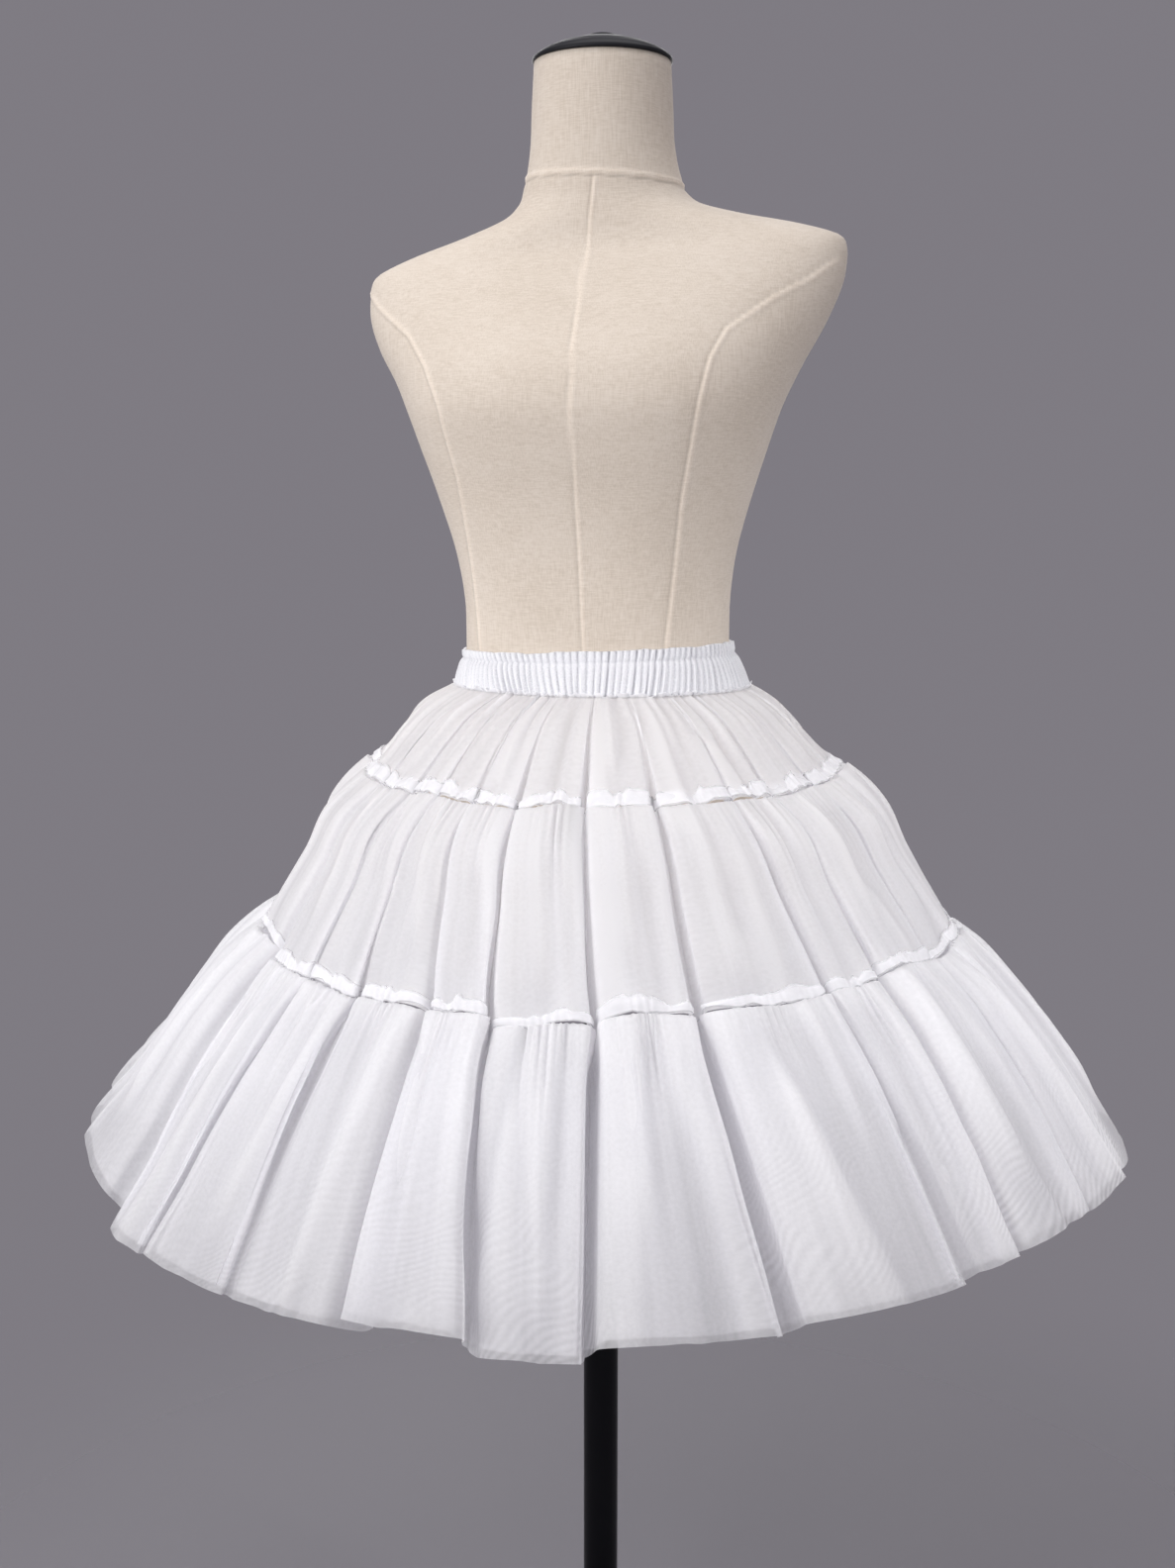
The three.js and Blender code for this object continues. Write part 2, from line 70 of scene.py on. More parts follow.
# Valleys between the large folds, in degrees from the front towards the form's left, at three levels.
# above and depth are shares of the ring's fold depth over and under the lower seam, wide is a share of its
# half width, and lap moves the valley's bottom under the fold after it, or under the one before it where
# it is negative. out and lower, in millimetres, are how far the fold after the valley stands out at the
# hem and how much lower it ends.
VALLEY_NAMES = ("seam1", "seam2", "hem", "above", "depth", "wide", "lap", "out", "lower")
VALLEYS = np.array([
    (-80, -79, -77, 1.1, 1.2, 1.0, 0.4, 0, -21),
    (-53, -55, -49.5, 0.3, 0.3, 1.3, 0.5, 1, 5),
    (-38, -39, -40, 0.2, 0.3, 0.9, -0.9, 1, 2),
    (-29, -27, -26, 0.2, 0.2, 0.9, -0.9, 0, 2),
    (-20, -16, -15, 0.3, 1.0, 0.9, 1.4, 5, -9),
    (-9, -5, -1, 0.65, 0.9, 1.0, -1.3, -2, 8),
    (6, 9.4, 9.1, 1.1, 1.2, 1.0, -0.8, -4, -4),
    (21, 22.5, 26.6, 0.35, 0.75, 1.5, 0.1, -3, -10),
    (39, 43.8, 45.5, 0.4, 0.3, 0.8, -0.9, 0, -19),
    (50, 52.5, 51.5, 0.35, 0.8, 0.9, 0.9, -3, -19),
    (66, 69, 66, 0.3, 0.25, 0.8, -0.8, -1, -15),
    (84, 86, 82, 0.9, 0.9, 1.0, 0.5, 3, 2),
    (104, 105, 104, 0.6, 0.9, 1.0, -0.9, 0, 4),
    (121, 124, 125, 0.9, 0.5, 1.1, 0.4, -2, -3),
    (141, 142, 140, 0.4, 1.0, 0.9, 1.1, 4, 3),
    (158, 160, 161, 0.9, 0.4, 1.0, -0.8, 0, 0),
    (176, 175, 178, 1.2, 1.1, 1.0, 0.9, -4, -4),
    (195, 197, 198, 0.4, 0.7, 1.2, -0.4, 3, 2),
    (214, 214, 214, 0.7, 0.9, 0.9, 1.0, -2, -3),
    (233, 235, 236, 0.4, 0.6, 1.0, -0.9, 3, 3),
    (256, 257, 258, 0.9, 1.0, 1.1, 0.6, -8, -31),
])
FOLDS = len(VALLEYS)
LEFT_SIDE, RIGHT_SIDE = 11, 0  # the valleys that hide the side seams
FOLD_SAMPLES = 56
COLUMN = FOLD_SAMPLES / 72  # columns of the mesh in each step that the noises and creases are laid out in

# Rings of each tier in millimetres: the drop from the waistband's top, the half sizes across and front
# to back, the valleys' depth and half width, how far a valley's cloth hangs below the crowns, how far a
# fold's edges lie back for each mm of its width, and the level between the columns of the valley table.
RING_NAMES = ("fall", "wide", "deep", "fold", "slot", "sag", "crown", "level")
TIER_RINGS = {
    "tier_top": [
        (35.3, 129, 106, 0.2, 4, 0, 0.01, 0),
        (48, 150, 135, 0.3, 6, 2, 0.02, 0),
        (72, 175, 169, 0.8, 8, 7, 0.04, 0),
        (97, 199, 199, 5, 9.5, 16, 0.08, 0),
        (105.9, 210, 209, 9, 10.5, 19, 0.1, 0),
    ],
    "tier_middle": [
        (106.2, 210, 209, 9, 10.5, 19, 0.1, 0),
        (122, 233, 232, 11, 11, 19, 0.16, 0.1),
        (178, 270, 270, 12, 12, 20, 0.15, 0.5),
        (237, 307, 306, 16, 13.5, 26, 0.12, 0.94),
        (245.9, 312, 311, 18, 13.5, 28, 0.12, 1),
    ],
    "tier_bottom": [
        (246.2, 312, 311, 18, 13.5, 28, 0.12, 1),
        (262, 333, 331, 22, 15, 27, 0.15, 1.08),
        (300, 370, 366, 26, 16, 24, 0.12, 1.3),
        (345, 404, 400, 30, 17, 21, 0.09, 1.55),
        (390, 433, 429, 33, 18, 20, 0.06, 1.8),
        (430, 457, 453, 33, 18.5, 21, 0.04, 2),
    ],
}

# How each tier's cloth is gathered, in metres: rows of its mesh, the fine gathers' pitch along the top edge,
# their height there and how far down they fade, the height of the long soft pleats, and how many fine
# creases there are.
CLOTH_NAMES = ("rows", "pitch", "height", "fade", "pleat", "creases")
TIER_CLOTH = {
    "tier_top": (30, 0.0082, 0.0013, 0.04, 0.0013, 80),
    "tier_middle": (44, 0.0056, 0.0021, 0.03, 0.0014, 120),
    "tier_bottom": (56, 0.006, 0.0024, 0.034, 0.0026, 150),
}

# Single folds and creases laid on the large folds: where each runs in degrees at the tier's top and
# lower edge, where it begins and ends as a share of the way down, its half width and height in mm.
CREASES = {
    "tier_top": [
        (-64, -66, 0, 1.3, 5, 2), (-45, -46, 0, 0.9, 4, 2), (-15, -15, 0, 0.9, 4, 2.5),
        (0, -1, 0.1, 1.3, 4, -2), (12, 13, 0, 0.8, 4, 2.5), (27, 28, 0.1, 1.3, 4, 2),
        (45, 45, 0, 0.8, 4, -2), (75, 75, 0, 0.9, 5, 2), (111, 112, 0, 0.9, 5, 2),
        (150, 149, 0.1, 1.3, 5, -2), (186, 187, 0, 0.8, 5, 2.5), (224, 224, 0, 1.3, 5, 2),
        (246, 247, 0.1, 1.3, 5, 2),
    ],
    "tier_middle": [
        (-66, -67, 0.1, 1.3, 8, 2.6), (-46, -46, 0, 0.8, 7, 2.6), (-33, -30, 0.2, 1.3, 6, -2),
        (-25, -17, 0, 0.8, 6, 2.3), (-14, -6.5, 0.3, 1.3, 6, -2), (-2, 3, 0, 0.9, 7, 2.3),
        (1, 6, 0.4, 1.3, 5, 2), (13, 15, 0, 0.8, 7, 2.6), (17, 19, 0.3, 1.3, 5, -2),
        (28, 31, 0, 0.9, 7, 2.6), (34, 37, 0.2, 1.3, 6, 2), (44.5, 48, 0, 1.3, 6, -2),
        (57, 60, 0, 0.8, 7, 2.6), (75, 78, 0.2, 1.3, 7, -2.6), (95, 95, 0, 0.8, 8, 2.6),
        (112, 114, 0.2, 1.3, 7, -2.6), (131, 133, 0, 0.9, 8, 2.6), (149, 151, 0.2, 1.3, 7, 2),
        (167, 168, 0, 0.8, 8, -2.6), (186, 186, 0.1, 1.3, 8, 2.6), (204, 205, 0, 0.9, 7, 2.6),
        (224, 225, 0.2, 1.3, 8, -2), (245, 246, 0, 0.8, 8, 2.6), (269, 269, 0.1, 1.3, 7, 2.6),
    ],
    "tier_bottom": [
        (-70, -68, 0.3, 1.3, 9, -4), (-62, -60, 0, 0.9, 9, 5), (-44, -44, 0.1, 1.3, 8, 4),
        (-29, -31, 0, 0.9, 8, 4), (-17, -19.5, 0, 1.2, 7, 4), (-1, -2.5, 0.05, 0.85, 8, -5),
        (4, 3.5, 0, 0.7, 6, 3), (14, 15, 0, 0.75, 7, 3.5), (18, 21, 0.3, 1.3, 8, -4),
        (30, 36.5, 0.2, 1.3, 9, 5.5), (38, 41, 0, 0.6, 6, 3), (57, 58, 0, 0.9, 9, 5),
        (62, 61, 0.3, 1.3, 7, -4), (74, 75, 0.1, 1.3, 9, 4.5), (93, 92, 0, 0.9, 9, 5),
        (113, 115, 0.2, 1.3, 8, -4), (131, 132, 0, 0.8, 9, 5), (150, 149, 0.1, 1.3, 8, 4),
        (168, 170, 0, 0.9, 9, -4), (186, 187, 0.2, 1.3, 9, 5), (205, 206, 0, 0.8, 8, 4),
        (224, 225, 0.1, 1.3, 9, -4), (246, 247, 0, 0.9, 9, 5), (268, 269, 0.2, 1.3, 8, 4),
    ],
}

# Sections of the dress form in millimetres: the height above the waist, half width, front and back half
# depths, the middle's place to the form's left, and the superellipse's exponent.
SECTION_NAMES = ("rise", "wide", "front", "back", "aside", "square")
FORM_SECTIONS = [
    (-290, 150, 96, 112, 0, 2.2),
    (-282, 161, 104, 121, 0, 2.2),
    (-240, 168, 109, 127, 0, 2.2),
    (-190, 168, 109, 128, 0, 2.2),
    (-130, 153, 104, 119, -1, 2.2),
    (-70, 130, 97, 101, -2, 2.1),
    (-30, 116, 90, 89, -3, 2.1),
    (0, 115, 87, 84, -4, 2.1),
    (30, 115, 89, 84, -4, 2.1),
    (78, 121, 94, 88, -5, 2.2),
    (128, 135, 105, 95, -6, 2.3),
    (165, 147, 116, 101, -6, 2.4),
    (200, 159, 123, 106, -5, 2.5),
    (228, 172, 119, 108, -3, 2.4),
    (262, 191, 103, 107, -1, 2.3),
    (293, 202, 84, 101, 1, 2.3),
    (313, 203, 71, 91, 2, 2.3),
    (326, 197, 63, 82, 2, 2.2),
    (337, 168, 60, 77, 1, 2.1),
    (350, 119, 59, 70, 0, 2),
    (361, 85, 58, 65, 0, 2),
    (371, 72, 57, 62, 0, 2),
    (386, 66, 57, 60, 0, 2),
    (410, 61, 57, 58, 0, 2),
    (445, 59, 57, 57, 0, 2),
    (481, 57, 56, 56, 0, 2),
]
SHOULDER_LEAN = 0.065

# Raised seams of the form in millimetres: the height above the waist, and the place across.
SEAM_LINES = {
    "centre_front": [(0, 0), (120, -3), (200, -5), (300, -4), (383, 4)],
    "left_princess": [
        (0, 66), (120, 80), (200, 96), (235, 104), (258, 116), (285, 152), (300, 178), (318, 199),
    ],
    "right_princess": [
        (0, -96), (140, -106), (200, -118), (232, -132), (258, -150), (285, -185), (300, -200),
    ],
    "centre_back": [(-290, 0), (383, 0)],
    "left_back": [(-290, 78), (0, 58), (200, 84), (330, 118)],
    "right_back": [(-290, -78), (0, -58), (200, -84), (330, -118)],
}
NECK_SEAM = 0.386

# Rows of the form's mesh: each stretch's lower and upper height over the waist in millimetres, and its rows
FORM_STRETCHES = [(-290, -283, 4), (-283, 230, 66), (230, 330, 34), (330, 400, 34), (400, 481, 10)]
FORM_COLUMNS = 640
BAND_COLUMNS = 1320
BAND_GATHERS = 122

# Outlines of the turned parts: radius and height in millimetres, from the top down
CAP = [(0, 18), (17, 18), (26, 17), (41, 12.5), (53, 7), (58, 3), (58.5, 1), (58, 0), (0, 0)]
BUTTON = [(0, 4.6), (11, 4), (14.5, 1.5), (14, 0), (0, 0)]
POLE_TOP = (TORSO_BOTTOM + 0.0597) * 1000
POLE = [(0, POLE_TOP), (15, POLE_TOP), (16, POLE_TOP - 1), (16, 13.3), (15, 12.3), (0, 12.3)]
BASE_MIDDLE = (0, 12)
BASE = [(16.3, 12), (16.3, 60), (23, 60), (25, 22), (34, 15), (142, 9), (150, 5), (150, 0), (0, 0)]

# Each seam's band: its place, the tier it lies on, the tier whose gathers it follows, and its seed
SEAM_BANDS = [("upper", "tier_top", "tier_middle", 41), ("lower", "tier_middle", "tier_bottom", 51)]

WHITE = (0.972, 0.968, 0.99)
SEAM_WHITE = (0.935, 0.931, 0.95)
BACKDROP = (0.212, 0.2, 0.225, 1)
FLOOR_RADII = (1.4, 0.9, 0.4, 0.001)

# The camera stands a little to the form's left and looks slightly down
CAMERA_TURN, CAMERA_DROP = radians(10), radians(9.39)
CAMERA_DISTANCE, CAMERA_SIDE, CAMERA_RISE = 1.52, -0.0125, 0.127
SENSOR_HEIGHT = 36  # millimetres
FOCAL_PIXELS, HEIGHT_PIXELS = 1756.0, 1584  # the lens and the picture's height in the same pixels

# Each light's name, place, target, size, power and spread in degrees
LIGHTS = [
    ("key", (-1.95, -2.6, 2.25), (0, 0, 0.9), (2.6, 2.4), 77, 180),
    ("fill", (2.4, -2.2, 1.5), (0, 0, 0.8), (2.4, 2.4), 3, 180),
    ("front", (0.3, -3.4, 1.5), (0, 0, 0.85), (3.0, 2.4), 14, 180),
    ("top", (0.1, -0.2, 3.2), (0, 0, 1.0), (2.6, 2.6), 30, 180),
    ("back", (-0.6, 2.8, 1.9), (0, 0, 0.9), (2.6, 2.2), 44, 180),
    ("skirt_right", (1.7, -0.5, 1.25), (0.36, -0.05, 0.74), (0.9, 0.9), 2.1, 45),
    ("skirt_left", (-1.9, -1.1, 1.35), (-0.3, -0.1, 0.76), (1.0, 1.0), 1.7, 44),
]


# Shapes and numbers

def bell(x, half):
    return np.exp(-(x / half) ** 2)


def crease_shape(x, lean):
    """A soft ridge at nought that falls into a hollow on one side."""
    return np.exp(-x * x) - lean * x * np.exp(-x * x / 2)


def angle_between(angle, middle):
    """How far an angle lies from another one, -180 to 180 degrees."""
    return (angle - middle + 540) % 360 - 180


def smooth_step(x, low, high):
    t = np.clip((x - low) / (high - low), 0, 1)
    return t * t * (3 - 2 * t)


def smooth_noise(length, step, seed):
    """Closed smooth noise of about -1 to 1 over the given number of samples, one knot each step samples."""
    knots = np.random.default_rng(seed).uniform(-1, 1, max(4, int(length / step + 1e-6)))
    at = np.arange(length) / length * len(knots)
    low = np.floor(at).astype(int)
    share = at - low
    share = share * share * (3 - 2 * share)
    return knots[low % len(knots)] * (1 - share) + knots[(low + 1) % len(knots)] * share


def layered_noise(length, seed, *layers):
    """The sum of smooth noises, each given as its height and step, with seeds that follow each other."""
    return sum(height * smooth_noise(length, step, seed + k) for k, (height, step) in enumerate(layers))


def spline(table, names, at):
    """Smooth values of every column of a table at the given values of its first column."""
    table = np.array(table, dtype=float)
    x = table[:, 0]
    slopes = np.gradient(table, x, axis=0)
    i = np.clip(np.searchsorted(x, at) - 1, 0, len(x) - 2)
    step = (x[i + 1] - x[i])[:, None]
    t = ((at - x[i]) / (x[i + 1] - x[i]))[:, None]
    low, high, slope_low, slope_high = table[i], table[i + 1], slopes[i] * step, slopes[i + 1] * step
    rise = high - low
    limit = 3 * np.abs(rise)
    slope_low = np.where(slope_low * rise > 0, np.clip(slope_low, -limit, limit), 0)
    slope_high = np.where(slope_high * rise > 0, np.clip(slope_high, -limit, limit), 0)
    made = (low * (2 * t**3 - 3 * t**2 + 1) + high * (3 * t**2 - 2 * t**3)
            + slope_low * (t**3 - 2 * t**2 + t) + slope_high * (t**3 - t**2))
    return {name: made[:, k] for k, name in enumerate(names)}


def outward_normals(rows, closed):
    """Unit normals of a grid of rows down and columns round, anticlockwise seen from above."""
    if closed:
        along = np.roll(rows, -1, axis=1) - np.roll(rows, 1, axis=1)
    else:
        along = np.gradient(rows, axis=1)
    down = np.gradient(rows, axis=0)
    normals = np.cross(down, along)
    return normals / np.maximum(np.linalg.norm(normals, axis=-1, keepdims=True), 1e-12)


def points_at(rows, height):
    """The point of every column where the column passes the given height."""
    above = rows[..., 2] > height[None, :]
    index = np.clip(above.sum(axis=0) - 1, 0, len(rows) - 2)
    columns = np.arange(rows.shape[1])
    upper, lower = rows[index, columns], rows[index + 1, columns]
    share = np.clip((upper[:, 2] - height) / np.maximum(upper[:, 2] - lower[:, 2], 1e-6), 0, 1.2)
    return upper + (lower - upper) * share[:, None]


# Meshes

def mesh_object(name, points, quads, values=None):
    """A smooth mesh of four-cornered faces, with named numbers at its points for the materials."""
    mesh = bpy.data.meshes.new(name)
    mesh.vertices.add(len(points))
    mesh.vertices.foreach_set("co", np.ascontiguousarray(points, dtype=np.float32).ravel())
    mesh.loops.add(quads.size)
    mesh.loops.foreach_set("vertex_index", quads.astype(np.int32).ravel())
    mesh.polygons.add(len(quads))
    mesh.polygons.foreach_set("loop_start", np.arange(0, quads.size, 4, dtype=np.int32))
    mesh.update(calc_edges=True)
    mesh.validate()
    mesh.shade_smooth()
    for key, numbers in (values or {}).items():
        layer = mesh.attributes.new(key, "FLOAT", "POINT")
        layer.data.foreach_set("value", np.ascontiguousarray(numbers, dtype=np.float32).ravel())
    made = bpy.data.objects.new(name, mesh)
    bpy.context.scene.collection.objects.link(made)
    return made


def grid_quads(count_r, count_c, loop_down, loop_round):
    """The corners of every face of a grid of points, rows down and columns round."""
    r = np.arange(count_r if loop_down else count_r - 1)[:, None]
    c = np.arange(count_c if loop_round else count_c - 1)[None, :]
    row, next_row = r * count_c, (r + 1) % count_r * count_c
    d = (c + 1) % count_c
    return np.stack([row + c, next_row + c, next_row + d, row + d], axis=-1).reshape(-1, 4)


def grid_mesh(name, rows, closed, values=None):
    """A sheet through a grid of points, or a tube where it is closed."""
    return mesh_object(name, rows.reshape(-1, 3), grid_quads(*rows.shape[:2], False, closed), values)


def closed_shell(name, outer, inner, values):
    """A tube wall from an outer and an inner grid. The hidden inner side repeats the outer's values."""
    loop = np.concatenate([outer, inner[::-1]])
    both = {key: np.concatenate([numbers, numbers]) for key, numbers in values.items()}
    return mesh_object(name, loop.reshape(-1, 3), grid_quads(*loop.shape[:2], True, True), both)


def capped_tube(name, rows, values):
    """A closed body from rows down: the ends run in to the middle."""
    ends = []
    for row in (rows[0], rows[-1]):
        centre = row.mean(axis=0)
        ends.append([centre + (row - centre) * k for k in (0.002, 0.5, 0.97)])
    grid = np.concatenate([np.stack(ends[0]), rows, np.stack(ends[1][::-1])])
    values = {k: np.concatenate([v[:1]] * 3 + [v] + [v[-1:]] * 3) for k, v in values.items()}
    return grid_mesh(name, grid, True, values)


def turned(name, profile, segments, height):
    """A profile of (radius, height) pairs in millimetres, from the top down, turned about the upright axis
    and moved up by a height in metres."""
    profile = np.array(profile, dtype=float)
    angles = np.arange(segments) / segments * 2 * pi
    radius = np.maximum(profile[:, 0], 0.02)[:, None]
    level = np.broadcast_to(profile[:, 1:2], (len(profile), segments))
    rows = np.stack([radius * np.sin(angles), -radius * np.cos(angles), level], axis=-1) / 1000
    rows[..., 2] += height
    return grid_mesh(name, rows, True)


def rounded(points, radius, steps=4):
    """A polyline with its corners rounded, in millimetres."""
    points = [np.array(p, dtype=float) for p in points]
    made = [points[0]]
    for before, corner, after in zip(points, points[1:], points[2:]):
        a, b = before - corner, after - corner
        cut = min(radius, 0.45 * np.hypot(*a), 0.45 * np.hypot(*b))
        start, end = corner + a / np.hypot(*a) * cut, corner + b / np.hypot(*b) * cut
        for t in np.linspace(0, 1, steps):
            made.append((1 - t) ** 2 * start + 2 * t * (1 - t) * corner + t * t * end)
    made.append(points[-1])
    return made


# The skirt's cloth

def tier_grid(name, falls):
    """The large folds of a tier as a grid of points, with each point's share of a hollow and of a rim."""
    ring = spline(TIER_RINGS[name], RING_NAMES, falls)
    ring = {key: value[:, None] for key, value in ring.items()}
    valley = {key: VALLEYS[:, k] for k, key in enumerate(VALLEY_NAMES)}
    fold = np.repeat(np.arange(FOLDS), FOLD_SAMPLES)
    after = (fold + 1) % FOLDS
    share = np.tile(np.arange(FOLD_SAMPLES) / FOLD_SAMPLES, FOLDS)
    # More samples near the two valleys than across the flat middle
    share = share - 0.07 * np.sin(4 * pi * share) / 2 - 0.045 * np.sin(2 * pi * share)
    level = ring["level"]
    upper_share, hem_share = np.minimum(level, 1), np.maximum(level - 1, 0)

    def angle(index):
        upper = valley["seam1"][index] + (valley["seam2"] - valley["seam1"])[index] * upper_share
        return upper + (valley["hem"] - valley["seam2"])[index] * hem_share

    start = angle(fold)
    turn = (angle(after) - start) % 360
    mean_radius = (ring["wide"] + ring["deep"]) / 2
    width = np.radians(turn) * mean_radius
    # Distances from the valleys before and after the fold, in their own half widths
    slot_near = np.minimum(ring["slot"] * valley["wide"][fold], 0.3 * width)
    slot_far = np.minimum(ring["slot"] * valley["wide"][after], 0.3 * width)
    near = share * width / slot_near
    far = (1 - share) * width / slot_far
    below = smooth_step(level, 0.85, 1.1)
    depth = valley["above"] * (1 - below) + valley["depth"] * below
    hollow = depth[:, fold] * bell(near, 0.62) + depth[:, after] * bell(far, 0.62)
    # The rounded edge beside a deep valley, where the cloth turns back on itself; it gets a painted
    # highlight and thicker thread
    rim = depth[:, fold] * bell(near - 1.15, 0.45) + depth[:, after] * bell(far - 1.15, 0.45)
    sideways = (0.15 + 0.5 * smooth_step(level, 0, 1)) * (
        valley["lap"][fold] * slot_near * bell(near, 0.75)
        + valley["lap"][after] * slot_far * bell(far, 0.75))
    # The covering fold's rounded edge swells a little over the valley
    swell = 0.5 * (slot_far * bell(far - 0.85, 0.4) - slot_near * bell(near - 0.85, 0.4))
    theta = np.radians(start + turn * share) + (sideways + swell) / mean_radius

    around = 1 / np.hypot(np.sin(theta) / ring["wide"], np.cos(theta) / ring["deep"])
    arch = 1 - (2 * share - 1) ** 6
    edge_depth = np.minimum(1, np.where(share < 0.5, depth[:, fold], depth[:, after]))
    set_back = ring["crown"] * width * (1 - arch) * edge_depth
    radius = around + valley["out"][fold] * hem_share * arch - set_back - ring["fold"] * hollow
    # The side at the form's right is drawn in, less so near the hem
    drawn = (DRAWN_UPPER + DRAWN_LOWER * upper_share) * (1 - 0.75 * smooth_step(level, 1.72, 2))
    near_flank = bell(angle_between(np.degrees(theta), DRAWN_ANGLE), DRAWN_HALF)
    radius = radius - drawn * near_flank * smooth_step(ring["fall"], 60, 130)

    # A valley hangs down by the mean of the folds beside it
    between = (valley["lower"] + np.roll(valley["lower"], 1)) / 2
    lower = valley["lower"][fold] * arch + between[np.where(share < 0.5, fold, after)] * (1 - arch)
    drop = ring["fall"] + lower * level / 2 + ring["sag"] * hollow
    # Each seam rises and dips a little from fold to fold
    for fall, seed in ((UPPER_SEAM, 61), (LOWER_SEAM, 64)):
        wobble = layered_noise(len(fold), seed, (3.4, 52 * COLUMN), (1.7, 21 * COLUMN))
        drop = drop + wobble * bell(ring["fall"] - fall, 26)
    height = WAIST * 1000 - drop
    points = np.stack([radius * np.sin(theta), -radius * np.cos(theta), height], axis=-1) / 1000
    return points, np.clip(hollow, 0, 1), rim


def long_pleats(height, down, count, seed):
    """Long soft pleats that start at the seam and run down, uneven in length, depth and place."""
    length = down[-1, 0]
    blend = smooth_step(down, 0.15 * length, 0.95 * length)
    made = 0
    for k, (knots, part) in enumerate(((FOLDS * 3, 1.0), (FOLDS * 6, 0.7), (FOLDS * 11, 0.45))):
        upper_shape = smooth_noise(count, count / knots, seed + 10 + k)
        lower_shape = smooth_noise(count, count / knots, seed + 20 + k)
        fade = 1 - (0.5 + 0.15 * k) * smooth_step(down, 0.3 * length, length)
        grow = smooth_step(down, 0, 0.02 + 0.01 * k) * fade
        made = made + part * height * grow * (upper_shape * (1 - blend) + lower_shape * blend)
    return made


def placed_creases(table, rows, part):
    """The listed single folds. part is the share of the way down the tier."""
    angles = np.degrees(np.arctan2(rows[..., 0], -rows[..., 1]))
    radii = np.hypot(rows[..., 0], rows[..., 1]) * 1000
    made = 0
    for at_top, at_low, begin, end, half, height in table:
        off = angle_between(angles, at_top + (at_low - at_top) * part)
        x = np.radians(off) * radii / (half * (0.8 + 0.5 * part))
        lasts = smooth_step(part, begin - 0.15, begin + 0.15) * (1 - smooth_step(part, end - 0.3, end))
        made = made + height / 1000 * lasts * crease_shape(x, 0.8)
    return made


def fine_creases(number, part, count, seed):
    """Finer creases, each with its own place, slant, width, height and length."""
    draw = np.random.default_rng(seed)
    steps = count / COLUMN
    columns = np.arange(count) / COLUMN
    made = 0
    for _ in range(number):
        middle, slant = draw.uniform(0, steps), draw.normal(0, 9)
        half, height = draw.uniform(2.4, 8.5), draw.normal(0, 0.0011)
        begin = draw.choice((-0.2, draw.uniform(0, 0.6)))
        end = begin + draw.uniform(0.35, 0.95)
        gap = (columns[None] - middle - slant * part + steps / 2) % steps - steps / 2
        x = gap / (half * (0.8 + 0.5 * part))
        lasts = smooth_step(part, begin, begin + 0.12) * (1 - smooth_step(part, end - 0.25, end))
        made = made + height * lasts * crease_shape(x, 0.9)
    return made


def raised_edge(row, normals, gather, seed):
    """Three rows over a tier's top row: its raw edge stands up a little over the waistband's lower edge."""
    height = FRILL_RISE * (1 + 0.75 * smooth_noise(len(row), 7 * COLUMN, seed))
    out = FRILL_OUT * (1 + gather / 3)
    edges = []
    for part in (1.0, 0.5, 0.1):
        edge = row + normals * (out * (0.4 + 0.6 * part))[:, None]
        edge[:, 2] += height * part
        edges.append(edge)
    return np.stack(edges)


